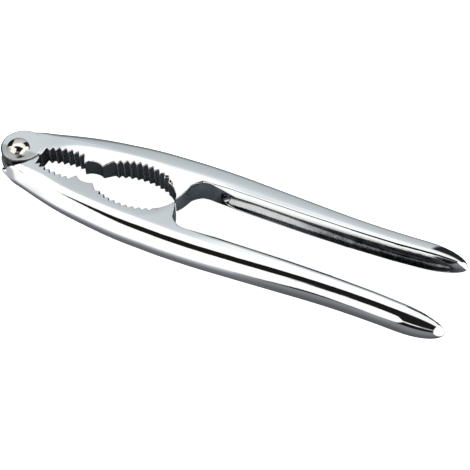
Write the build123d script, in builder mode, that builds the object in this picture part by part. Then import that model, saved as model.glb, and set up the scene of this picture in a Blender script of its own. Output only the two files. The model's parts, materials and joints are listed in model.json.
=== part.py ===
from build123d import *
from math import atan2, cos, degrees, hypot, pi, radians, sin, sqrt
import os

# Plier-type nutcracker: two cast levers, the front one turned over, joined by one domed rivet.
# Millimetres. +X runs from the pivot along the tool to the handle tips, +Y is the back lever's side and
# +Z is up along the pivot axis. The origin is on the pivot axis, in the plane that the tool lies on.

os.makedirs("parts", exist_ok=True)

# Driving dimensions
HALF = 5.0  # half the thickness of a handle, and the height of the tool's middle plane
BACK_EAR = (0.5, 1.7)  # the round end of each ear is not centred on the rivet
BACK_EAR_RADIUS = 8.0
FRONT_EAR = (0.6, -0.3)
FRONT_EAR_RADIUS = 7.4
POCKET = (-0.6, -0.2)  # each casting is also cut back in a circle about this point
POCKET_RADIUS = 8.2
EAR_HEIGHT = 3.6  # one ear, from the middle plane to its top
EAR_PLAY = 0.05  # each ear stops this far short of the middle plane
LAP_GAP = 0.3  # all round the other lever's ear, over the whole swing
OPENING_ANGLE = 80
JAW_GAP = 0.2  # each jaw tip stops this far short of the plane between the levers
RIVET_RADIUS = 2.5
RIVET_PLAY = 0.05
HEAD_RADIUS = 4.2
HEAD_RIM = 0.35
DOME_HEIGHT = 2.5
FOOT_RADIUS = 3.4

# Teeth of the small and the large recess: crest arc centre, crest radius, depth, pitch, first angle, count
SMALL_TEETH = dict(centre=(20.5, -20.0), crest=25.1, depth=1.5, pitch=5.36, first=-21.8, count=6)
LARGE_TEETH = dict(centre=(47.5, -13.6), crest=22.7, depth=1.35, pitch=6.02, first=-26.1, count=10)
HINGE_END = (9.3, 0.9)  # where the mouth closes near the hinge
FIRST_POINT = (25.8, 3.0)  # the two plain points between the toothed recesses
SCALLOP_LOW = (28.7, 4.9)
SECOND_POINT = (32.8, 4.1)
MOUTH_CORNER = (61.3, 4.5)
JAW_TIP = (63.9, JAW_GAP)

# Sections across a lever, from hinge to handle tip: place along X, outer edge, then crest, crease and lip
# as pairs of distance from the plane between the levers and height above the middle plane.
SECTIONS = [
    (-2.8, 7.8, (5.7, 1.50), (1.6, 1.50), (JAW_GAP, 1.40)),
    (-1.5, 8.7, (5.8, 2.45), (1.6, 2.45), (JAW_GAP, 2.40)),
    (1.0, 10.5, (6.1, 3.25), (1.6, 3.25), (JAW_GAP, 3.20)),
    (5.0, 12.6, (6.7, 3.60), (1.8, 3.60), (JAW_GAP, 3.55)),
    (9.0, 13.7, (7.1, 3.72), (1.8, 3.70), (JAW_GAP, 3.60)),
    (14.0, 15.1, (7.9, 4.05), (1.8, 3.75), (JAW_GAP, 3.60)),
    (24.0, 17.6, (10.3, 4.50), (1.8, 3.75), (JAW_GAP, 3.60)),
    (36.0, 19.6, (12.1, 4.80), (1.8, 3.75), (JAW_GAP, 3.60)),
    (50.0, 21.1, (13.1, 4.95), (1.8, 3.75), (JAW_GAP, 3.60)),
    (62.0, 21.5, (13.6, 5.00), (2.0, 3.75), (JAW_GAP, 3.50)),
    (70.0, 21.6, (13.8, 5.00), (10.9, 4.75), (9.5, 3.45)),
    (80.0, 21.4, (13.8, 5.00), (11.2, 4.85), (9.6, 3.40)),
    (94.0, 20.5, (13.2, 5.00), (10.8, 4.80), (9.2, 3.40)),
    (110.0, 19.5, (12.8, 5.00), (10.6, 4.80), (8.9, 3.40)),
    (126.0, 18.6, (12.6, 4.90), (10.6, 4.70), (9.0, 3.40)),
    (142.0, 18.5, (12.7, 4.80), (11.0, 4.60), (9.6, 3.35)),
    (152.0, 18.7, (13.1, 4.75), (11.6, 4.50), (10.3, 3.30)),
    (158.0, 18.5, (13.5, 4.45), (12.2, 4.20), (10.9, 2.95)),
    (162.0, 18.0, (13.8, 3.75), (12.7, 3.45), (11.5, 1.80)),
    (165.0, 17.0, (14.0, 2.70), (13.2, 2.45), (12.6, 1.40)),
    (166.7, 15.8, (14.1, 1.60), (13.6, 1.45), (13.2, 0.90)),
    (167.4, 14.8, (14.1, 0.50), (13.9, 0.45), (13.7, 0.35)),
]
# On the ear's side of the casting the flat top reaches this much further out: place along X, distance
SHOULDER = [(-3.0, 3.2), (5.0, 3.0), (14.0, 3.0), (24.0, 1.5), (38.0, 0.2), (50.0, 0.0), (168.0, 0.0)]
# Outer edge between the crests: place along X, exponent of its curve (2 is an ellipse), and the radius
# that rounds its outermost line
EDGE_POWER = [(-3.0, 1.3), (14.0, 1.3), (24.0, 1.36), (36.0, 1.5), (50.0, 1.65), (80.0, 1.85), (95.0, 2.0)]
EDGE_ROUND = [(-3.0, 3.0), (40.0, 2.4), (90.0, 0.8), (168.0, 0.5)]
EDGE_POINTS = 3  # points between a crest and the outer edge

# Channel in the handle's inner side: place along X, lip, outer limit, half height, exponent of its curve
CHANNEL = [
    (76.0, 9.0, 10.9, 1.0, 2.0),
    (80.0, 9.3, 12.6, 3.0, 2.0),
    (90.0, 9.1, 13.2, 3.4, 2.0),
    (110.0, 8.6, 12.7, 3.4, 2.2),
    (128.0, 8.8, 12.4, 3.4, 2.8),
    (144.0, 9.4, 12.9, 3.35, 3.4),
    (153.0, 10.1, 13.6, 3.3, 3.4),
    (158.0, 10.6, 13.9, 2.6, 3.0),
    (161.5, 11.0, 13.3, 1.5, 2.4),
]
CHANNEL_INNER = 6.5  # the cutter starts this far from the plane between the levers

# Wall at the handle side of the jaw tip, then out to the handle's lip
WEB_WALL = [(65.2, 2.6), (66.6, 7.4), (69.8, 10.3), (75.0, 10.6)]
WEB_END = (84.0, 9.35)


def across(x):
    """Plane across the lever at x, with its own X along the tool's +Y."""
    return Plane(origin=(x, 0, HALF), x_dir=(0, 1, 0), z_dir=(1, 0, 0))


def at(table, x):
    """Value at x on straight lines between the places in a table of pairs."""
    for (x0, v0), (x1, v1) in zip(table, table[1:]):
        if x <= x1:
            return v0 + (v1 - v0) * (x - x0) / (x1 - x0)
    return table[-1][1]


def edge_points(x, outer, crest_y, crest_z):
    """Points from the crest towards the outer edge, without the two ends."""
    power = at(EDGE_POWER, x)
    round_by = at(EDGE_ROUND, x)
    full = hypot(crest_z, round_by) - round_by
    points = []
    for step in range(1, EDGE_POINTS + 1):
        angle = pi / 2 * (1 - step / (EDGE_POINTS + 1))
        up = sin(angle) ** (2 / power) * full + round_by
        points.append((crest_y + (outer - crest_y) * cos(angle) ** (2 / power), sqrt(up**2 - round_by**2)))
    return points


def ear_places(centre):
    """Centres of the other lever's ear, every 10 degrees over its whole swing."""
    reach = hypot(*centre)
    start = degrees(atan2(centre[1], centre[0]))
    turns = [radians(start - turn) for turn in range(0, OPENING_ANGLE + 1, 10)]
    return [(reach * cos(turn), reach * sin(turn)) for turn in turns]


def polar_point(centre, radius, angle):
    """Point on a recess's arc, with the angle measured from +Y towards +X."""
    return (centre[0] + radius * sin(radians(angle)), centre[1] + radius * cos(radians(angle)))


def tooth_points(centre, crest, depth, pitch, first, count):
    """Groove, crest, groove and so on, starting and ending in a groove."""
    points = [polar_point(centre, crest + depth, first - pitch / 2)]
    for index in range(count):
        angle = first + index * pitch
        points.append(polar_point(centre, crest, angle))
        points.append(polar_point(centre, crest + depth, angle + pitch / 2))
    return points


small_teeth = tooth_points(**SMALL_TEETH)
large_teeth = tooth_points(**LARGE_TEETH)[:-1]  # a plain curve follows the last crest

with BuildPart() as casting:
    # Body that both levers share, with its ear's side up
    for x, outer, crest, crease, lip in SECTIONS:
        shoulder = (crest[0] + at(SHOULDER, x), crest[1])
        upper = edge_points(x, outer, *shoulder)
        lower = [(y, -z) for y, z in edge_points(x, outer, *crest)]
        with BuildSketch(across(x)):
            with BuildLine():
                inner_side = [(y, -z) for y, z in (crest, crease, lip)]
                Polyline(*inner_side, lip, crease, shoulder)
                Spline(shoulder, *upper, (outer, 0), *reversed(lower), inner_side[0])
            make_face()
    loft()

    # Toothed mouth
    with BuildSketch(Plane.XY):
        with BuildLine():
            Polyline(HINGE_END, *small_teeth, FIRST_POINT)
            ThreePointArc(FIRST_POINT, SCALLOP_LOW, SECOND_POINT)
            Polyline(SECOND_POINT, *large_teeth)
            ThreePointArc(large_teeth[-1], MOUTH_CORNER, JAW_TIP)
            Polyline(JAW_TIP, (JAW_TIP[0], -2), (HINGE_END[0], -2), HINGE_END)
        make_face()
    extrude(amount=2 * HALF + 2, mode=Mode.SUBTRACT)

    # Open space between the handles, up to the wall behind the jaw tip
    with BuildSketch(Plane.XY):
        with BuildLine():
            Spline(JAW_TIP, *WEB_WALL, WEB_END)
            Polyline(WEB_END, (WEB_END[0], -2), (JAW_TIP[0], -2), JAW_TIP)
        make_face()
    extrude(amount=2 * HALF + 2, mode=Mode.SUBTRACT)

    # Channel in the inner side of the handle
    with BuildPart(mode=Mode.PRIVATE) as channel:
        for x, lip_y, limit, half_height, power in CHANNEL:
            curve = []
            for angle in (radians(65), radians(35)):
                into = (limit - lip_y) * cos(angle) ** (2 / power)
                curve.append((lip_y + into, half_height * sin(angle) ** (2 / power)))
            below = [(y, -z) for y, z in curve]
            top = [(lip_y, half_height), (CHANNEL_INNER, half_height)]
            bottom = [(y, -z) for y, z in reversed(top)]
            with BuildSketch(across(x)):
                with BuildLine():
                    Polyline(*top, *bottom)
                    Spline(bottom[-1], *below, (limit, 0), *reversed(curve), top[0])
                make_face()
        loft()
    add(channel.part, mode=Mode.SUBTRACT)

with BuildPart() as back_lever:
    add(casting.part)
    # Flat ear above the middle plane
    with BuildSketch(Plane.XY.offset(HALF)):
        with Locations(BACK_EAR):
            Circle(BACK_EAR_RADIUS)
    extrude(amount=EAR_HEIGHT)
    # Room under it for the front lever's ear, all along its swing
    with BuildSketch(Plane.XY.offset(HALF + EAR_PLAY)):
        with Locations(POCKET):
            Circle(POCKET_RADIUS)
        with Locations(ear_places(FRONT_EAR)):
            Circle(FRONT_EAR_RADIUS + LAP_GAP)
    extrude(amount=-2 * HALF, mode=Mode.SUBTRACT)
    # Rivet hole
    with BuildSketch(Plane.XY):
        Circle(RIVET_RADIUS + RIVET_PLAY)
    extrude(amount=2 * HALF, mode=Mode.SUBTRACT)

back_lever.part.label = "back_lever"
export_step(back_lever.part, "parts/back_lever.step")

with BuildPart() as front_lever:
    # The same body turned over, with the ear's side down
    add(casting.part.rotate(Axis((0, 0, HALF), (1, 0, 0)), 180))
    # Flat ear below the middle plane
    with BuildSketch(Plane.XY.offset(HALF)):
        with Locations(FRONT_EAR):
            Circle(FRONT_EAR_RADIUS)
    extrude(amount=-EAR_HEIGHT)
    # Room above it for the back lever's ear, which swings the other way
    with BuildSketch(Plane.XY.offset(HALF - EAR_PLAY)):
        with Locations((POCKET[0], -POCKET[1])):
            Circle(POCKET_RADIUS)
        with Locations([(x, -y) for x, y in ear_places((BACK_EAR[0], -BACK_EAR[1]))]):
            Circle(BACK_EAR_RADIUS + LAP_GAP)
    extrude(amount=2 * HALF, mode=Mode.SUBTRACT)
    # Rivet hole
    with BuildSketch(Plane.XY):
        Circle(RIVET_RADIUS + RIVET_PLAY)
    extrude(amount=2 * HALF, mode=Mode.SUBTRACT)

front_lever.part.label = "front_lever"
export_step(front_lever.part, "parts/front_lever.step")

with BuildPart() as pivot_rivet:
    ear_top = HALF + EAR_HEIGHT
    ear_bottom = HALF - EAR_HEIGHT
    rim_top = ear_top + RIVET_PLAY + HEAD_RIM
    with BuildSketch(Plane.XZ):
        with BuildLine():
            Polyline(
                (0, rim_top + DOME_HEIGHT),
                (0, 0),
                (FOOT_RADIUS, 0),
                (HEAD_RADIUS, ear_bottom),
                (RIVET_RADIUS, ear_bottom),
                (RIVET_RADIUS, ear_top + RIVET_PLAY),
                (HEAD_RADIUS, ear_top + RIVET_PLAY),
                (HEAD_RADIUS, rim_top),
            )
            dome = [(HEAD_RADIUS * cos(a), rim_top + DOME_HEIGHT * sin(a)) for a in (0, pi / 6, pi / 3)]
            Spline(*dome, (0, rim_top + DOME_HEIGHT), tangents=((0, 1), (-1, 0)))
        make_face()
    revolve(axis=Axis.Z)

pivot_rivet.part.label = "pivot_rivet"
export_step(pivot_rivet.part, "parts/pivot_rivet.step")
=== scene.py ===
import json
import math

import bpy
import numpy as np
from mathutils import Matrix, Vector


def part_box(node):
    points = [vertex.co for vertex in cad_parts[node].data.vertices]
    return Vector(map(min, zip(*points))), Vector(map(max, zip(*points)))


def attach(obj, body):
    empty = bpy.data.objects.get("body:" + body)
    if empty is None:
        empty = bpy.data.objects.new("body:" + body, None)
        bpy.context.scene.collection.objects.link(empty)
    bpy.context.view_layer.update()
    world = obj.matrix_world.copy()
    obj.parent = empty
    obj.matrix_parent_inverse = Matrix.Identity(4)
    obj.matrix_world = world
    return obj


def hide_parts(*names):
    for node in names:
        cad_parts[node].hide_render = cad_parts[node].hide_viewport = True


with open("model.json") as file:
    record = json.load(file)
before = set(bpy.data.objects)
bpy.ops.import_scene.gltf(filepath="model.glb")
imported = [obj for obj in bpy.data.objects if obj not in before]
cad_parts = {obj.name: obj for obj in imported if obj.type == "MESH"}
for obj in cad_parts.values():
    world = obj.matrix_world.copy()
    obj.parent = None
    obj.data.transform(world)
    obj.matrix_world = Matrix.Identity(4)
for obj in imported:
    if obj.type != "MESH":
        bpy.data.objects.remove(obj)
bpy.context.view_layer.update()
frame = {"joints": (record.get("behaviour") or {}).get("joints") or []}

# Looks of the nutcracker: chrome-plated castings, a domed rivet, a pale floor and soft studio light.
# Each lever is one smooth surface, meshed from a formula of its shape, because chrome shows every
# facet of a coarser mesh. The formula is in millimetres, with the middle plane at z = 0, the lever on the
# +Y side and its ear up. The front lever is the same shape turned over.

MM = 0.001

# ---------------------------------------------------------------- sizes, in millimetres
HALF = frame["joints"][0]["pos_m"][2] / MM  # middle plane above the table
BACK_EAR = dict(x=0.5, y=1.7, radius=7.95, edge=0.8)  # centre, radius and rounding of its edge
FRONT_EAR = dict(x=0.6, y=0.3, radius=7.35, edge=1.8)
EAR_TOP = 3.6  # above the middle plane
EAR_PLAY = 0.05  # from each ear to the middle plane, and from the upper ear to the rivet's head
LAP_GAP = 0.3  # all round the other ear, over the whole swing
OPENING = math.radians(80)
POCKET = (-0.6, -0.2)  # each casting is also cut back in a circle about this point
POCKET_RADIUS = 8.2
BORE_RADIUS = 2.55
JAW_GAP = 0.2  # from the jaw tip to the plane between the levers

# Sections across the lever: place along X, outer edge, then crest, crease and lip (across and height)
SECTIONS = np.array([
    (-5.0, 9.2, 5.6, 3.60, 1.6, 3.60, 0.2, 3.55),
    (0.0, 11.0, 6.0, 3.60, 1.6, 3.60, 0.2, 3.55),
    (5.0, 12.6, 6.7, 3.60, 1.8, 3.60, 0.2, 3.55),
    (9.0, 13.7, 7.1, 3.72, 1.8, 3.70, 0.2, 3.60),
    (14.0, 15.1, 7.9, 4.05, 1.8, 3.75, 0.2, 3.60),
    (24.0, 17.6, 10.3, 4.50, 1.8, 3.75, 0.2, 3.60),
    (36.0, 19.5, 12.1, 4.80, 1.8, 3.75, 0.2, 3.60),
    (50.0, 21.0, 13.1, 4.95, 1.8, 3.75, 0.2, 3.60),
    (62.0, 21.4, 13.6, 4.98, 2.0, 3.75, 0.2, 3.50),
    (66.0, 21.5, 13.7, 4.98, 7.6, 4.60, 6.2, 3.40),
    (70.0, 21.5, 13.8, 4.98, 10.9, 4.72, 9.5, 3.45),
    (80.0, 21.3, 13.8, 4.98, 11.2, 4.85, 9.6, 3.40),
    (94.0, 20.5, 13.2, 4.98, 10.8, 4.80, 9.2, 3.40),
    (110.0, 19.5, 12.8, 4.98, 10.6, 4.80, 8.9, 3.40),
    (126.0, 18.6, 12.6, 4.90, 10.6, 4.70, 9.0, 3.40),
    (142.0, 18.5, 12.7, 4.80, 11.0, 4.60, 9.6, 3.35),
    (153.0, 18.8, 13.2, 4.75, 11.7, 4.50, 10.4, 3.30),
    (160.0, 19.0, 13.6, 4.70, 12.3, 4.45, 11.0, 3.30),
    (167.5, 19.1, 14.1, 4.70, 13.1, 4.40, 11.9, 3.30),
])
# Exponent of the outer edge's curve, 2 for an ellipse, by place along X
ROUNDNESS = [
    (-2, 1.3), (14, 1.3), (24, 1.36), (36, 1.5), (50, 1.65), (62, 1.75), (80, 1.85), (95, 2.0), (168, 2.0),
]
# On the ear's side the flat top reaches this much further out, by place along X
SHOULDER = [(-2, 3.2), (5, 3.0), (14, 3.0), (24, 1.5), (38, 0.2), (50, 0.0)]
# Radius that rounds the outer edge at the middle plane, by place along X
BELLY = [(0, 3.0), (40, 2.4), (90, 0.8), (168, 0.5)]
# The casting closes in a rounded end behind the hinge, from END_START back over END_LENGTH
END_START = 5.5
END_LENGTH = 8.2
# Bevel beside the teeth: place along X, its outer edge, its slope
BEVEL = np.array([
    (8.0, 4.6, 0.10),
    (14.0, 6.3, 0.12),
    (20.0, 7.8, 0.18),
    (27.0, 8.9, 0.24),
    (34.0, 9.5, 0.24),
    (41.0, 10.1, 0.24),
    (50.0, 10.6, 0.25),
    (55.0, 10.2, 0.27),
    (57.5, 9.6, 0.36),
    (59.5, 8.6, 0.36),
    (61.0, 6.8, 0.28),
    (64.0, 1.2, 0.20),
    (70.0, -5.0, 0.20),
])
# Slope of the flat top, from the crest down to the bevel
LAND_SLOPE = 0.115
LAND_SOFT = 1.5  # how gently that slope starts
BEVEL_LIFT = 0.4  # how far the bevel is raised out of the metal at the hinge
OUT_OF_REACH = 20  # a face that is moved this far cuts nothing
# Channel in the handle: place along X, outer limit, half height at its mouth, exponent of its curve
CHANNEL = np.array([
    (74.0, 8.0, 2.0, 2.0),
    (80.0, 12.6, 3.0, 2.0),
    (90.0, 13.2, 3.4, 2.0),
    (110.0, 12.7, 3.4, 2.2),
    (128.0, 12.4, 3.4, 2.8),
    (144.0, 12.9, 3.35, 3.4),
    (167.5, 14.9, 3.3, 3.4),
])
CHANNEL_START = 75.0
CHANNEL_RAMP = 0.4  # slope of its end
CHANNEL_LAP = 0.3  # it opens this far before the lip
# The handle's tip: where it starts to close, over what length, and the exponent of its curve
TIP_START = 151.5
TIP_LENGTH = 15.9
TIP_POWER = 2.2
# Teeth: centre of their arc, radius to the crests, depth, then pitch and first crest in degrees
SMALL_TEETH = dict(centre=(20.5, -20.0), crest=25.1, depth=1.5, pitch=5.36, first=-21.8, count=6)
LARGE_TEETH = dict(centre=(47.5, -13.6), crest=22.7, depth=1.35, pitch=6.02, first=-26.1, count=10)
HINGE_END = (9.3, 0.9)
FIRST_POINT = (25.8, 3.0)
SCALLOP_LOW = (28.7, 4.9)
SECOND_POINT = (32.8, 4.1)
MOUTH_CORNER = (61.3, 4.5)
JAW_TIP = (63.9, JAW_GAP)
WEB_WALL = [(65.2, 2.6), (66.6, 7.4), (69.8, 10.3), (75.0, 10.6), (84.0, 9.35)]
HANDLE_END = 168
# Radii of the edges
BEVEL_ROUND = 0.5
RIM_ROUND = 0.35
INNER_ROUND = 0.3
CHANNEL_ROUND = 0.4
CHANNEL_END_ROUND = 2.5
LAP_FLOOR_ROUND = 0.15
LAP_ROUND = 0.25
BORE_ROUND = 0.2
# How rough from the mould the mouth is, and how much painted shade darkens it, where the lap is 1
MOUTH_RAWNESS_AND_SHADE = 0.45
# Wear on the teeth: strength at the crest, share of the pitch in which it falls by 1, and how deep it reaches
WEAR = 1.15
WEAR_WIDTH = 0.13
WEAR_DEPTH = 0.35
# The mesh: its cell, and the corners of the space that is searched
GRID = 0.30
GRID_LOW = (-8, -8, -5.2)
GRID_HIGH = (HANDLE_END, 23, 5.2)


# ---------------------------------------------------------------- curves
def spline(xs, ys):
    """Natural cubic spline through the points, as a function."""
    xs = np.asarray(xs, float)
    ys = np.asarray(ys, float)
    h = np.diff(xs)
    n = len(xs)
    matrix = np.eye(n)
    right = np.zeros(n)
    for i in range(1, n - 1):
        matrix[i, i - 1 : i + 2] = h[i - 1], 2 * (h[i - 1] + h[i]), h[i]
        right[i] = 6 * ((ys[i + 1] - ys[i]) / h[i] - (ys[i] - ys[i - 1]) / h[i - 1])
    m = np.linalg.solve(matrix, right)

    def value(x):
        x = np.clip(x, xs[0] - 6, xs[-1])
        i = np.clip(np.searchsorted(xs, x) - 1, 0, n - 2)
        t = x - xs[i]
        slope = (ys[i + 1] - ys[i]) / h[i] - h[i] * (2 * m[i] + m[i + 1]) / 6
        return ys[i] + t * (slope + t * (m[i] / 2 + t * (m[i + 1] - m[i]) / (6 * h[i])))

    return value


def arc_points(start, through, end, count):
    """Points on the circle through three points, without the first one."""
    (ax, ay), (bx, by), (cx, cy) = start, through, end
    d = 2 * (ax * (by - cy) + bx * (cy - ay) + cx * (ay - by))
    a2, b2, c2 = ax * ax + ay * ay, bx * bx + by * by, cx * cx + cy * cy
    ux = (a2 * (by - cy) + b2 * (cy - ay) + c2 * (ay - by)) / d
    uy = (a2 * (cx - bx) + b2 * (ax - cx) + c2 * (bx - ax)) / d
    first = math.atan2(ay - uy, ax - ux)
    last = math.atan2(cy - uy, cx - ux)
    sweep = (last - first + math.pi) % (2 * math.pi) - math.pi
    radius = math.hypot(ax - ux, ay - uy)
    angles = first + sweep * np.linspace(0, 1, count + 1)[1:]
    return [(ux + radius * math.cos(a), uy + radius * math.sin(a)) for a in angles]


def tooth_curve(centre, crest, depth, pitch, first, count, steps=14, sharp=0.985):
    """Rounded V teeth along an arc, from the first groove to the last one."""
    phases = np.linspace(-0.5, count - 0.5, count * steps + 1)
    wave = np.arcsin(sharp * np.cos(2 * math.pi * phases)) / math.asin(sharp)
    radii = crest + depth * (1 - wave) / 2
    angles = np.radians(first + phases * pitch)
    return [(centre[0] + r * math.sin(a), centre[1] + r * math.cos(a)) for r, a in zip(radii, angles)]


section_at = [spline(SECTIONS[:, 0], SECTIONS[:, k]) for k in range(4)]


def between(x, k):
    """Column k of the sections at x, on straight lines."""
    return np.interp(x, SECTIONS[:, 0], SECTIONS[:, k])


small = tooth_curve(**SMALL_TEETH)
large = tooth_curve(**LARGE_TEETH)[:-7]  # without the half groove after the last crest
lip_line = [(x, float(between(x, 6))) for x in np.arange(88, HANDLE_END, 4)]
inner = [(-12, -0.6), (8.9, 0.2), HINGE_END, *small, FIRST_POINT]
inner += arc_points(FIRST_POINT, SCALLOP_LOW, SECOND_POINT, 14) + large
inner += arc_points(large[-1], MOUTH_CORNER, JAW_TIP, 14)
corner = arc_points(WEB_WALL[1], WEB_WALL[2], WEB_WALL[3], 14)
inner += [(64.55, 1.2), WEB_WALL[0], (66.0, 5.0), WEB_WALL[1], *corner, (79.0, 10.15), WEB_WALL[4], *lip_line]
inner = np.array(inner)


def to_inner_curve(x, y):
    """Signed distance to the lever's inner outline, positive on the open side."""
    px, py = inner[:, 0], inner[:, 1]
    at = np.clip(np.searchsorted(px, x), 1, len(px) - 1)
    best = np.full(np.broadcast(x, y).shape, 1e9)
    for offset in range(-14, 15):
        j = np.clip(at + offset, 1, len(px) - 1)
        ax, ay = px[j - 1], py[j - 1]
        dx, dy = px[j] - ax, py[j] - ay
        t = np.clip(((x - ax) * dx + (y - ay) * dy) / (dx * dx + dy * dy), 0, 1)
        best = np.minimum(best, (x - ax - t * dx) ** 2 + (y - ay - t * dy) ** 2)
    return np.where(y < np.interp(x, px, py), 1, -1) * np.sqrt(best)


def smax(a, b, radius):
    """The larger of two distances, with a rounded edge where they meet."""
    h = np.clip(radius - np.abs(a - b), 0, radius) / radius
    return np.maximum(a, b) + h * h * radius / 4


def ease(x, low, high):
    """0 below low, 1 above high, smooth between them."""
    t = np.clip((x - low) / (high - low), 0, 1)
    return t * t * (3 - 2 * t)


# ---------------------------------------------------------------- the lever's shape
def casting(x, y, z):
    """The lever before its ear and lap are formed, negative inside the metal.

    The second value is high in the mouth and the channel, and low on the outside.
    """
    outer, crest_y, crest_z = (f(x) for f in section_at[1:])
    closing = np.maximum(np.maximum(x - TIP_START, 0) / TIP_LENGTH, np.maximum(END_START - x, 0) / END_LENGTH)
    closing = closing * crest_z
    height = (np.abs(z) ** TIP_POWER + closing**TIP_POWER) ** (1 / TIP_POWER)
    power = np.interp(x, *zip(*ROUNDNESS))
    edge_y = crest_y + np.interp(x, *zip(*SHOULDER)) * ease(z, -0.5, 0.5)
    depth = outer - edge_y
    out = np.maximum(y - edge_y, 0) / depth + 1e-6
    belly = np.interp(x, *zip(*BELLY))
    full = np.hypot(crest_z, belly) - belly
    up = (np.hypot(height, belly) - belly) / full + 1e-6
    u, v = out**power, up**power
    norm = (u + v) ** (1 / power)
    steep = np.hypot(u / out / depth, v / up * height / np.hypot(height, belly) / full)
    dome = (norm - 1) * (u + v) / norm / np.maximum(steep, 0.02)

    land_slope = LAND_SLOPE * ease(x, 7, 22) * (1 - ease(x, 64, 92))
    land = crest_z - land_slope * (np.hypot(np.maximum(crest_y - y, 0), LAND_SOFT) - LAND_SOFT)
    top = (height - land) / np.hypot(1, land_slope)
    body = np.where(y > edge_y, dome, top)

    edge, slope = (np.interp(x, BEVEL[:, 0], BEVEL[:, k]) for k in (1, 2))
    edge_z = crest_z - land_slope * (np.hypot(np.maximum(crest_y - edge, 0), LAND_SOFT) - LAND_SOFT)
    bevel = (height - edge_z - slope * (y - edge)) / np.hypot(1, slope)
    body = smax(body, bevel - BEVEL_LIFT * (1 - ease(x, 10, 22)), BEVEL_ROUND)

    crease_y, crease_z, lip_y, lip_z = (between(x, k) for k in (4, 5, 6, 7))
    run, rise = crease_y - lip_y, crease_z - lip_z
    rim = ((height - lip_z) * run - (y - lip_y) * rise) / np.hypot(run, rise)
    body = smax(body, rim - OUT_OF_REACH * (1 - ease(x, 64, 68)), RIM_ROUND)

    body = smax(body, to_inner_curve(x, y), INNER_ROUND)
    deepest, hollow_z, square = (np.interp(x, CHANNEL[:, 0], CHANNEL[:, k]) for k in (1, 2, 3))
    mouth = lip_y - CHANNEL_LAP
    into = np.maximum(y - mouth, 0) / np.maximum(deepest - mouth, 0.5)
    hollow = ((into**square + (height / hollow_z) ** square) ** (1 / square) - 1) * hollow_z
    hollow = smax(hollow, (CHANNEL_START - x) * CHANNEL_RAMP, CHANNEL_END_ROUND)
    return smax(body, -hollow, CHANNEL_ROUND), np.maximum(to_inner_curve(x, y) + 0.6, 1.0 - hollow)


def swept_disc(x, y, ear):
    """Distance to the area that the other lever's ear sweeps as the tool opens."""
    reach = math.hypot(ear["x"], ear["y"])
    start = math.atan2(-ear["y"], ear["x"])
    angle = (start - np.arctan2(y, x)) % (2 * math.pi)
    late = angle - OPENING < 2 * math.pi - angle
    turned = np.where(late, start - OPENING, start)
    to_ends = np.hypot(x - reach * np.cos(turned), y - reach * np.sin(turned))
    return np.where(angle < OPENING, np.abs(np.hypot(x, y) - reach), to_ends) - ear["radius"] - LAP_GAP


def pocket(x, y, other):
    """Distance to the area where a lever is cut back, below its own ear."""
    return np.minimum(swept_disc(x, y, other), np.hypot(x - POCKET[0], y - POCKET[1]) - POCKET_RADIUS)


def lever(x, y, z, own, other):
    """The whole lever, negative inside: its ear is above the middle plane, and it clears the other ear."""
    body = casting(x, y, z)[0]
    disc = np.hypot(x - own["x"], y - own["y"]) - own["radius"]
    ear = smax(disc, z - EAR_TOP, own["edge"])
    whole = np.minimum(body, np.maximum(ear, -z))
    lap = smax(pocket(x, y, other), z - EAR_PLAY, LAP_FLOOR_ROUND)
    whole = smax(whole, -lap, LAP_ROUND)
    return smax(whole, BORE_RADIUS - np.hypot(x, y), BORE_ROUND)


def back_shape(x, y, z):
    return lever(x, y, z, BACK_EAR, FRONT_EAR)


def front_shape(x, y, z):
    return lever(x, y, z, FRONT_EAR, BACK_EAR)


def rawness_and_shade(points, other):
    """How rough each point is from the mould, and how much painted shade darkens it: 0 outside, 1 in the lap
    and far down the channel.
    """
    x, y, z = points.T
    in_lap = (pocket(x, y, other) < 0.25) & (z > -EAR_TOP + 0.4) & (z < EAR_TOP - 0.05)
    # The same amount sets both the mould's roughness and the painted shade of the recesses
    inside = np.clip(casting(x, y, z)[1], 0, 1) * (MOUTH_RAWNESS_AND_SHADE + (1 - MOUTH_RAWNESS_AND_SHADE) * ease(x, 96, 126))
    return np.where(in_lap, 1.0, inside)


def wear(points):
    """How worn each point is: 1 on the crests of the teeth, where nuts have rubbed the plating dull."""
    x, y, z = points.T
    worn = np.zeros(len(points))
    for row in (SMALL_TEETH, LARGE_TEETH):
        radius = np.hypot(x - row["centre"][0], y - row["centre"][1])
        turn = np.degrees(np.arctan2(x - row["centre"][0], y - row["centre"][1])) - row["first"]
        along = np.abs((turn / row["pitch"] + 0.5) % 1 - 0.5)
        in_row = (turn > -row["pitch"] / 2) & (turn < (row["count"] - 0.5) * row["pitch"])
        in_row &= radius < row["crest"] + row["depth"]
        worn = np.where(in_row, np.maximum(worn, np.clip(WEAR - along / WEAR_WIDTH, 0, 1)), worn)
    return worn * (to_inner_curve(x, y) > -WEAR_DEPTH)


# ---------------------------------------------------------------- meshing
def gradient(f, p, h=0.02):
    """Slope of f at each of the points p."""
    columns = []
    for axis in range(3):
        step = np.zeros(3)
        step[axis] = h
        a, b = p + step, p - step
        columns.append((f(*a.T) - f(*b.T)) / (2 * h))
    return np.stack(columns, 1)


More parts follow.
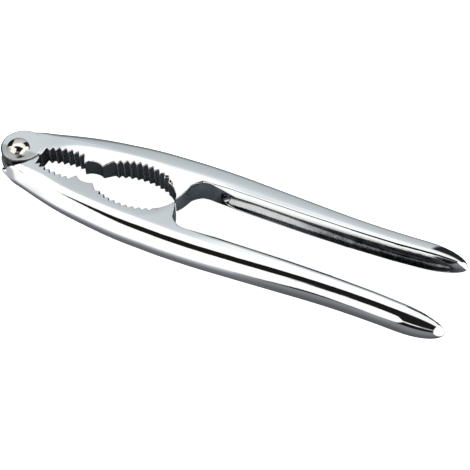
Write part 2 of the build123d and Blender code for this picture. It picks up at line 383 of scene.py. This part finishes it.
def surface(f, low, high, step):
    """Closed quad mesh of f = 0: one point in each cell that the surface crosses."""
    axes = [np.arange(a - 2 * step, b + 2 * step, step) for a, b in zip(low, high)]
    x, y, z = (axes[0][:, None, None], axes[1][None, :, None], axes[2][None, None, :])
    values = f(x, y, z)
    inside = values < 0
    shape = tuple(n - 1 for n in values.shape)
    total = np.zeros(shape + (3,))
    hits = np.zeros(shape)
    corner = [slice(0, -1), slice(1, None)]
    for axis in range(3):
        a = np.take(values, range(0, values.shape[axis] - 1), axis)
        b = np.take(values, range(1, values.shape[axis]), axis)
        cross = (a < 0) != (b < 0)
        t = np.where(cross, a / np.where(cross, a - b, 1), 0)
        others = [k for k in range(3) if k != axis]
        for i in (0, 1):
            for j in (0, 1):
                pick = [slice(None)] * 3
                pick[others[0]] = corner[i]
                pick[others[1]] = corner[j]
                c, s = cross[tuple(pick)], t[tuple(pick)]
                hits += c
                total[..., axis] += s * c
                total[..., others[0]] += i * c
                total[..., others[1]] += j * c
    active = hits > 0
    number = np.full(shape, -1)
    number[active] = np.arange(active.sum())
    cells = np.argwhere(active)
    origin = np.array([a[0] for a in axes])
    points = origin + step * (cells + total[active] / hits[active][:, None])
    faces = []
    for axis in range(3):
        a = np.take(inside, range(0, inside.shape[axis] - 1), axis)
        b = np.take(inside, range(1, inside.shape[axis]), axis)
        u, v = (axis + 1) % 3, (axis + 2) % 3
        edges = np.argwhere(a != b)
        keep = (edges[:, u] > 0) & (edges[:, v] > 0) & (edges[:, u] < shape[u]) & (edges[:, v] < shape[v])
        edges = edges[keep]
        ring = []
        for du, dv in ((-1, -1), (0, -1), (0, 0), (-1, 0)):
            cell = edges.copy()
            cell[:, u] += du
            cell[:, v] += dv
            ring.append(number[tuple(cell.T)])
        quads = np.stack(ring, 1)
        outward = a[tuple(edges.T)]
        quads[~outward] = quads[~outward][:, ::-1]
        faces.append(quads)
    faces = np.concatenate(faces)
    for _ in range(3):
        slope = gradient(f, points)
        size = np.maximum((slope**2).sum(1), 0.05)
        move = -(f(*points.T) / size)[:, None] * slope
        reach = np.linalg.norm(move, axis=1)[:, None]
        points = points + move * np.minimum(1, 0.4 * step / np.maximum(reach, 1e-9))
    normals = gradient(f, points)
    normals /= np.maximum(np.linalg.norm(normals, axis=1)[:, None], 1e-9)
    return points, faces, normals


def mesh_object(name, points, faces, normals):
    """Smooth mesh with the given normals, in the scene."""
    mesh = bpy.data.meshes.new(name)
    mesh.from_pydata([tuple(p) for p in points], [], [tuple(map(int, q)) for q in faces])
    mesh.polygons.foreach_set("use_smooth", [True] * len(mesh.polygons))
    mesh.normals_split_custom_set_from_vertices([tuple(n) for n in normals])
    mesh.update()
    obj = bpy.data.objects.new(name, mesh)
    bpy.context.scene.collection.objects.link(obj)
    return obj


def lever_object(name, shape, other, flip):
    """One lever as an object, with how rough, how darkened by painted shade and how worn it is at each point.
    """
    points, faces, normals = surface(shape, GRID_LOW, GRID_HIGH, GRID)
    places = (points * flip + np.array([0, 0, HALF])) * MM
    obj = mesh_object(name, places, faces, normals * flip)
    for key, values in (("raw_and_shade", rawness_and_shade(points, other)), ("worn", wear(points))):
        attribute = obj.data.attributes.new(key, "FLOAT", "POINT")
        attribute.data.foreach_set("value", values)
    return obj


AS_IT_IS = np.array([1, 1, 1])
TURNED_OVER = np.array([1, -1, -1])
back = lever_object("back_casting", back_shape, FRONT_EAR, AS_IT_IS)
front = lever_object("front_casting", front_shape, BACK_EAR, TURNED_OVER)


# ---------------------------------------------------------------- rivet
def lathe(name, outline, segments=96):
    """Closed body of revolution about the pivot, from points (radius, height) that start and end on it."""
    points, faces = [], []
    for radius, height in outline[1:-1]:
        for k in range(segments):
            a = 2 * math.pi * k / segments
            points.append((radius * math.cos(a) * MM, radius * math.sin(a) * MM, height * MM))
    rings = len(outline) - 2
    for i in range(rings - 1):
        for k in range(segments):
            n = (k + 1) % segments
            faces.append((i * segments + k, i * segments + n, (i + 1) * segments + n, (i + 1) * segments + k))
    first, last = len(points), len(points) + 1
    points += [(0, 0, outline[0][1] * MM), (0, 0, outline[-1][1] * MM)]
    for k in range(segments):
        n = (k + 1) % segments
        faces.append((first, n, k))
        faces.append((last, (rings - 1) * segments + k, (rings - 1) * segments + n))
    mesh = bpy.data.meshes.new(name)
    mesh.from_pydata(points, [], faces)
    mesh.polygons.foreach_set("use_smooth", [True] * len(mesh.polygons))
    mesh.set_sharp_from_angle(angle=math.radians(35))
    mesh.update()
    obj = bpy.data.objects.new(name, mesh)
    bpy.context.scene.collection.objects.link(obj)
    return obj


rivet_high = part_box("pivot_rivet")[1]
HEAD = rivet_high.x / MM
HEAD_TOP = rivet_high.z / MM
HEAD_BASE = HALF + EAR_TOP + EAR_PLAY
HEAD_RIM = 0.35
FOOT = 3.4
FOOT_TOP = HALF - EAR_TOP
SHANK = 2.5
DOME_HEIGHT = HEAD_TOP - HEAD_BASE - HEAD_RIM
outline = [(0, 0), (FOOT - 0.2, 0), (FOOT, 0.05), (HEAD, FOOT_TOP), (SHANK, FOOT_TOP), (SHANK, HEAD_BASE)]
outline += [(HEAD - 0.1, HEAD_BASE), (HEAD, HEAD_BASE + 0.1)]
for angle in np.linspace(0, math.pi / 2, 28):
    outline.append((HEAD * math.cos(angle), HEAD_BASE + HEAD_RIM + DOME_HEIGHT * math.sin(angle)))
rivet = lathe("rivet", outline)


# ---------------------------------------------------------------- materials
def new_material(name):
    material = bpy.data.materials.new(name)
    material.use_nodes = True
    return material, material.node_tree.nodes, material.node_tree.links


# Noise in the plating: cells per metre along X, Y and Z, levels of detail, and depth of its bumps in metres
MARKS = dict(scale=(120, 1500, 1500), detail=4)
MARK_DEPTH = 0.00004
RIPPLE = dict(scale=(60, 60, 60), detail=2)
RIPPLE_DEPTH = 0.0002
PITS = dict(scale=(900, 900, 900), detail=3)
PIT_DEPTH = 0.0001
# Patches in the painted shade of the raw recesses
SHADE_PATCHES = dict(scale=(250, 250, 400), detail=3)
WORN_COLOUR = (0.9, 0.92, 0.95, 1)
WORN_ROUGHNESS = 0.6
RAW_ROUGHNESS = (0.10, 0.30)
ROUGHER_MARKS = 2.2  # times the plating's own roughness


def plated(name, colour, painted_shade_colour, rough):
    """Plating: faint polishing marks where it was polished, duller and pitted where it was not, and darkened
    there with painted shade.
    """
    material, nodes, links = new_material(name)
    shader = nodes["Principled BSDF"]
    shader.inputs["Metallic"].default_value = 1
    place = nodes.new("ShaderNodeTexCoord")
    raw_and_shade = nodes.new("ShaderNodeAttribute")
    raw_and_shade.attribute_name = "raw_and_shade"

    def noise(scale, detail):
        stretch = nodes.new("ShaderNodeMapping")
        stretch.inputs["Scale"].default_value = scale
        links.new(place.outputs["Object"], stretch.inputs["Vector"])
        node = nodes.new("ShaderNodeTexNoise")
        node.inputs["Scale"].default_value = 1
        node.inputs["Detail"].default_value = detail
        links.new(stretch.outputs["Vector"], node.inputs["Vector"])
        return node.outputs["Fac"]

    def spread(value, low, high, to_low, to_high):
        node = nodes.new("ShaderNodeMapRange")
        for key, number in zip(("From Min", "From Max", "To Min", "To Max"), (low, high, to_low, to_high)):
            node.inputs[key].default_value = number
        links.new(value, node.inputs["Value"])
        return node.outputs[0]

    def bump(height, distance, strength, normal=None):
        node = nodes.new("ShaderNodeBump")
        node.inputs["Distance"].default_value = distance
        if isinstance(strength, float):
            node.inputs["Strength"].default_value = strength
        else:
            links.new(strength, node.inputs["Strength"])
        links.new(height, node.inputs["Height"])
        if normal:
            links.new(normal, node.inputs["Normal"])
        return node.outputs["Normal"]

    marks = noise(**MARKS)
    ripple = noise(**RIPPLE)
    pits = noise(**PITS)
    shade_patches = noise(**SHADE_PATCHES)

    # Painted shade: where the casting is raw (the lap, the mouth, down the channel), its colour is darkened
    # towards the shade colour, in patches
    tone = nodes.new("ShaderNodeMix")
    tone.data_type = "RGBA"
    tone.inputs[6].default_value = (*colour, 1)
    tone.inputs[7].default_value = (*painted_shade_colour, 1)
    patchy_painted_shade = nodes.new("ShaderNodeMath")
    patchy_painted_shade.operation = "MULTIPLY"
    links.new(raw_and_shade.outputs["Fac"], patchy_painted_shade.inputs[0])
    links.new(spread(shade_patches, 0.3, 0.7, 0.75, 1.0), patchy_painted_shade.inputs[1])
    links.new(patchy_painted_shade.outputs[0], tone.inputs[0])
    # Worn crests take a light metal colour over the painted shade
    worn = nodes.new("ShaderNodeAttribute")
    worn.attribute_name = "worn"
    bare = nodes.new("ShaderNodeMix")
    bare.data_type = "RGBA"
    bare.inputs[7].default_value = WORN_COLOUR
    links.new(worn.outputs["Fac"], bare.inputs[0])
    links.new(tone.outputs[2], bare.inputs[6])
    links.new(bare.outputs[2], shader.inputs["Base Color"])

    polished = spread(marks, 0.35, 0.75, rough, rough * ROUGHER_MARKS)
    dull = spread(pits, 0.3, 0.7, *RAW_ROUGHNESS)
    finish = nodes.new("ShaderNodeMix")
    links.new(raw_and_shade.outputs["Fac"], finish.inputs[0])
    links.new(polished, finish.inputs[2])
    links.new(dull, finish.inputs[3])
    rubbed = nodes.new("ShaderNodeMix")
    rubbed.inputs[3].default_value = WORN_ROUGHNESS
    links.new(worn.outputs["Fac"], rubbed.inputs[0])
    links.new(finish.outputs[0], rubbed.inputs[2])
    links.new(rubbed.outputs[0], shader.inputs["Roughness"])

    normal = bump(marks, MARK_DEPTH, 0.10)
    normal = bump(ripple, RIPPLE_DEPTH, 0.15, normal)
    normal = bump(pits, PIT_DEPTH, spread(raw_and_shade.outputs["Fac"], 0.0, 1.0, 0.0, 0.5), normal)
    links.new(normal, shader.inputs["Normal"])
    return material


# The second colour is the painted shade of the levers' lap, mouth and channel
chrome = plated("chrome_plate", (0.93, 0.94, 0.95), (0.06, 0.065, 0.07), 0.02)
steel = plated("rivet_nickel", (0.90, 0.86, 0.80), (0.40, 0.38, 0.35), 0.03)
for piece, body, node, slot, material in (
    (back, "back", "back_lever", "lever_chrome", chrome),
    (front, "front", "front_lever", "lever_chrome", chrome),
    (rivet, "front", "pivot_rivet", "rivet_steel", steel),
):
    piece.data.materials.append(material)
    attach(piece, body)
    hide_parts(node)


# ---------------------------------------------------------------- studio
# The studio is painted by direction. Angles go round the X axis, in degrees: 0 level on the camera's side,
# 90 straight up, 180 level behind. dx is the direction's X, from -1 on the hinge's side to 1 on the tips'.
PLAIN = (1.0, 1.0, 1.0)
COOL = (0.86, 1.0, 1.12)
SKY = (0.95, 1.02, 1.05)
MAUVE = (0.97, 0.98, 1.06)
GREY = (0.42, 0.43, 0.45)
STRIP_WHITE = (0.95, 0.95, 0.93)
GAP_BLACK = (0.010, 0.009, 0.007)
END_BLACK = (0.01, 0.01, 0.008)
STUDIO_STRENGTH = 1.12
FIRST_ANGLE = -130
STRAIGHT_UP = 90
# Floor, soft boxes and pale wall on the hinge's side: angle, level, tint
HINGE_SIDE = [
    (-130, 0.09, COOL),
    (-60, 0.12, MAUVE),
    (-40, 0.18, MAUVE),
    (-15, 0.30, MAUVE),
    (8, 0.55, MAUVE),
    (18, 0.95, PLAIN),
    (24, 1.0, PLAIN),
    (126, 1.0, PLAIN),
    (134, 0.62, SKY),
    (150, 0.52, SKY),
    (182, 0.44, SKY),
    (200, 0.16, COOL),
    (229, 0.10, COOL),
]
# Floor, dark and one soft box on the tips' side
TIP_SIDE = [
    (-130, 0.06, COOL),
    (-60, 0.10, MAUVE),
    (-20, 0.18, MAUVE),
    (10, 0.22, MAUVE),
    (14, 0.01, PLAIN),
    (100, 0.01, PLAIN),
    (104, 0.9, PLAIN),
    (130, 0.9, PLAIN),
    (138, 0.02, COOL),
    (229, 0.02, COOL),
]
# Pairs are where a change starts and where it is complete, in dx or in degrees.
# The wall comes WALL_TURN degrees nearer to straight up for each 1 of dx below WALL_TURNS_BELOW
WALL_TURN = 28
WALL_TURNS_BELOW = -0.10
WALL_TURNS = (98, 112)
# The dark gap: the dx where it starts, how it widens in degrees for each 1 of dx, and its half widths
GAP_STARTS = -0.58
GAP_GROWTH = 34
GAP_HALF = 9.5
GAP_EXTRA = 3.0
GAP_WIDENS = (-0.28, -0.14)
# The strip light: its middle, how it widens below a dx, its half widths, and where it grows faint and ends
STRIP_ANGLE = 44
STRIP_GROWS_BELOW = -0.02
STRIP_GROWTH = 300
STRIP_LEAST = 3.5
STRIP_MOST = 30.0
STRIP_FADES = (0.20, 0.34)
STRIP_ENDS = (0.62, 0.54)
CRISP = (-0.5, 1.0)
BLURRED = (-6.0, 4.0)
# Where the two sides meet, and how much nearer to the tips that is behind the tool
SIDES_MEET = (-0.15, -0.11)
SIDES_SHIFT = 0.13
SIDES_SHIFT_AT = (92, 110)
# Beyond the tips it is white. Beyond the hinge it is black behind and grey on the camera's side
WHITE_END = (0.58, 0.62)
BLACK_END = (-0.70, -0.74)
BLACK_END_BEHIND = (92, 98)
GREY_END = (-0.66, -0.90)
GREY_END_BEFORE = (92, 70)

world = bpy.data.worlds.new("studio")
bpy.context.scene.world = world
world.use_nodes = True
sky_nodes = world.node_tree.nodes
sky_links = world.node_tree.links


def calc(operation, a, b=0.0):
    """One sum on two values, each a number or a socket."""
    node = sky_nodes.new("ShaderNodeMath")
    node.operation = operation
    for socket, value in zip(node.inputs, (a, b)):
        if isinstance(value, (int, float)):
            socket.default_value = value
        else:
            sky_links.new(value, socket)
    return node.outputs[0]


def step(value, low, high):
    """0 below low, 1 above high, smooth between them; falls instead when low is above high."""
    node = sky_nodes.new("ShaderNodeMapRange")
    node.interpolation_type = "SMOOTHSTEP"
    for name, number in (("From Min", low), ("From Max", high), ("To Min", 0), ("To Max", 1)):
        node.inputs[name].default_value = number
    sky_links.new(value, node.inputs["Value"])
    return node.outputs[0]


def ramp(share, stops):
    """Colour by the share of the circle of angles."""
    node = sky_nodes.new("ShaderNodeValToRGB")
    while len(node.color_ramp.elements) < len(stops):
        node.color_ramp.elements.new(0.5)
    for element, (degrees, level, tint) in zip(node.color_ramp.elements, stops):
        element.position = (degrees - FIRST_ANGLE) / 360
        element.color = (level * tint[0], level * tint[1], level * tint[2], 1)
    sky_links.new(share, node.inputs[0])
    return node.outputs["Color"]


def over(under, colour, amount):
    """A colour laid over another by an amount from 0 to 1."""
    node = sky_nodes.new("ShaderNodeMix")
    node.data_type = "RGBA"
    sky_links.new(amount, node.inputs[0])
    sky_links.new(under, node.inputs[6])
    if isinstance(colour, tuple):
        node.inputs[7].default_value = (*colour, 1)
    else:
        sky_links.new(colour, node.inputs[7])
    return node.outputs[2]


def direction():
    """dx, and the angle counted from FIRST_ANGLE, of the direction that is being looked in."""
    place = sky_nodes.new("ShaderNodeTexCoord")
    split = sky_nodes.new("ShaderNodeSeparateXYZ")
    sky_links.new(place.outputs["Generated"], split.inputs[0])
    dx, dy, dz = split.outputs
    angle = calc("MULTIPLY", calc("ARCTAN2", dz, calc("MULTIPLY", dy, -1)), 180 / math.pi)
    return dx, calc("FLOORED_MODULO", calc("SUBTRACT", angle, FIRST_ANGLE), 360)


def both_sides(dx, angle, counted):
    """Floor, soft boxes and wall, on the hinge's side and on the tips' side."""
    beyond = calc("MAXIMUM", calc("SUBTRACT", WALL_TURNS_BELOW, dx), 0.0)
    lean = calc("MULTIPLY", beyond, step(angle, *WALL_TURNS))
    share = calc("ADD", calc("DIVIDE", counted, 360), calc("MULTIPLY", lean, WALL_TURN / 360))
    return ramp(share, HINGE_SIDE), ramp(share, TIP_SIDE)


def dark_gap(dx, angle):
    """The dark gap straight above, which closes on the hinge's side."""
    off_centre = calc("ABSOLUTE", calc("SUBTRACT", angle, STRAIGHT_UP))
    half = calc("MINIMUM", calc("MULTIPLY", calc("SUBTRACT", dx, GAP_STARTS), GAP_GROWTH), GAP_HALF)
    half = calc("ADD", half, calc("MULTIPLY", step(dx, *GAP_WIDENS), GAP_EXTRA))
    return step(calc("SUBTRACT", half, off_centre), *CRISP)


def strip_light(dx, angle):
    """The strip light on the camera's side, and its fainter, softer part further along."""
    half = calc("MULTIPLY", calc("SUBTRACT", STRIP_GROWS_BELOW, dx), STRIP_GROWTH)
    half = calc("MINIMUM", calc("MAXIMUM", half, STRIP_LEAST), STRIP_MOST)
    inside = calc("SUBTRACT", half, calc("ABSOLUTE", calc("SUBTRACT", angle, STRIP_ANGLE)))
    near = calc("MULTIPLY", step(inside, *CRISP), step(dx, *reversed(STRIP_FADES)))
    further = calc("MULTIPLY", step(dx, *STRIP_FADES), step(dx, *STRIP_ENDS))
    return near, calc("MULTIPLY", step(inside, *BLURRED), further)


def studio_world():
    """Long soft boxes beside a dark gap above the tool, a pale wall behind it and a grey floor below."""
    dx, counted = direction()
    angle = calc("ADD", counted, FIRST_ANGLE)
    colour, tip_side = both_sides(dx, angle, counted)
    colour = over(colour, GAP_BLACK, dark_gap(dx, angle))
    side_edge = calc("SUBTRACT", dx, calc("MULTIPLY", step(angle, *SIDES_SHIFT_AT), SIDES_SHIFT))
    colour = over(colour, tip_side, step(side_edge, *SIDES_MEET))
    strip, faint_strip = strip_light(dx, angle)
    colour = over(colour, STRIP_WHITE, strip)
    colour = over(colour, GREY, faint_strip)
    colour = over(colour, PLAIN, step(dx, *WHITE_END))
    black_end = calc("MULTIPLY", step(dx, *BLACK_END), step(angle, *BLACK_END_BEHIND))
    colour = over(colour, END_BLACK, black_end)
    grey_end = calc("MULTIPLY", step(dx, *GREY_END), step(angle, *GREY_END_BEFORE))
    colour = over(colour, GREY, grey_end)
    sky_links.new(colour, sky_nodes["Background"].inputs["Color"])
    sky_nodes["Background"].inputs["Strength"].default_value = STUDIO_STRENGTH


# The floor lies just below the tool and the shade card between them, so that no faces coincide
FLOOR_HALF = 30.0
FLOOR_Z = -0.0002
SHADE_Z = -0.0001
PAPER = (0.9, 0.9, 0.9, 1)
SHADE_INSET = 4.5  # from the levers' outer edges to the card's
SHADE_LENGTH = 170
# How light the card is: place along X, level
SHADE_LEVELS = [
    (2, 0.09), (58, 0.10), (66, 0.24), (73, 0.24), (77, 0.02), (84, 0.02), (92, 0.30), (126, 0.38),
]
SHADE_TINT = (0.88, 1.0, 1.12)


def plain_floor():
    """A pale floor that the camera sees and the plating doesn't."""
    mesh = bpy.data.meshes.new("floor")
    corners = [(x * FLOOR_HALF, y * FLOOR_HALF, 0) for x, y in ((-1, -1), (1, -1), (1, 1), (-1, 1))]
    mesh.from_pydata(corners, [], [(0, 1, 2, 3)])
    floor = bpy.data.objects.new("floor", mesh)
    bpy.context.scene.collection.objects.link(floor)
    floor.location.z = FLOOR_Z
    material, nodes, links = new_material("floor_paper")
    shader = nodes["Principled BSDF"]
    shader.inputs["Base Color"].default_value = PAPER
    shader.inputs["Roughness"].default_value = 0.9
    shader.inputs["Emission Color"].default_value = (1, 1, 1, 1)
    shader.inputs["Emission Strength"].default_value = 1.0
    mesh.materials.append(material)
    floor.visible_glossy = False
    floor.visible_diffuse = False


def shade_below():
    """The dark of the tool's own shadow, seen only in the plating between the two levers."""
    xs = np.arange(2, 164, 6)
    rows = [(x, float(section_at[1](x)) - SHADE_INSET) for x in xs]
    ring = [(x * MM, -y * MM, 0) for x, y in rows] + [(x * MM, y * MM, 0) for x, y in reversed(rows)]
    mesh = bpy.data.meshes.new("shade")
    mesh.from_pydata(ring, [], [tuple(range(len(ring)))])
    shade = bpy.data.objects.new("shade", mesh)
    bpy.context.scene.collection.objects.link(shade)
    shade.location.z = SHADE_Z
    material, nodes, links = new_material("shade_paper")
    shader = nodes["Principled BSDF"]
    place = nodes.new("ShaderNodeTexCoord")
    split = nodes.new("ShaderNodeSeparateXYZ")
    links.new(place.outputs["Object"], split.inputs[0])
    along = nodes.new("ShaderNodeMath")
    along.operation = "DIVIDE"
    along.inputs[1].default_value = SHADE_LENGTH * MM
    links.new(split.outputs["X"], along.inputs[0])
    tone = nodes.new("ShaderNodeValToRGB")
    while len(tone.color_ramp.elements) < len(SHADE_LEVELS):
        tone.color_ramp.elements.new(0.5)
    for element, (x, level) in zip(tone.color_ramp.elements, SHADE_LEVELS):
        element.position = x / SHADE_LENGTH
        element.color = (level * SHADE_TINT[0], level * SHADE_TINT[1], level * SHADE_TINT[2], 1)
    links.new(along.outputs[0], tone.inputs[0])
    links.new(tone.outputs["Color"], shader.inputs["Base Color"])
    shader.inputs["Roughness"].default_value = 1.0
    shader.inputs["Specular IOR Level"].default_value = 0.0
    mesh.materials.append(material)
    shade.visible_camera = False


studio_world()
plain_floor()
shade_below()

# ---------------------------------------------------------------- camera
CAMERA_TURN = math.radians(22.98)
CAMERA_RISE = math.radians(52.4)
CAMERA_PLACE = Vector((173.4, -203.6, 287.1)) * MM
FRAME_WIDTH = 36.0
FOCAL = 77.85
heading = Vector((-math.sin(CAMERA_TURN), math.cos(CAMERA_TURN), 0))
forward = heading * math.cos(CAMERA_RISE) - Vector((0, 0, math.sin(CAMERA_RISE)))
right = Vector((math.cos(CAMERA_TURN), math.sin(CAMERA_TURN), 0))
up = right.cross(forward)
camera_data = bpy.data.cameras.new("camera")
camera_data.lens = FOCAL
camera_data.sensor_width = FRAME_WIDTH
camera_data.clip_start = 0.01
camera = bpy.data.objects.new("camera", camera_data)
bpy.context.scene.collection.objects.link(camera)
turn = Matrix((right, up, -forward)).transposed().to_4x4()
camera.matrix_world = Matrix.Translation(CAMERA_PLACE) @ turn
bpy.context.scene.camera = camera
bpy.context.scene.view_settings.view_transform = "Standard"
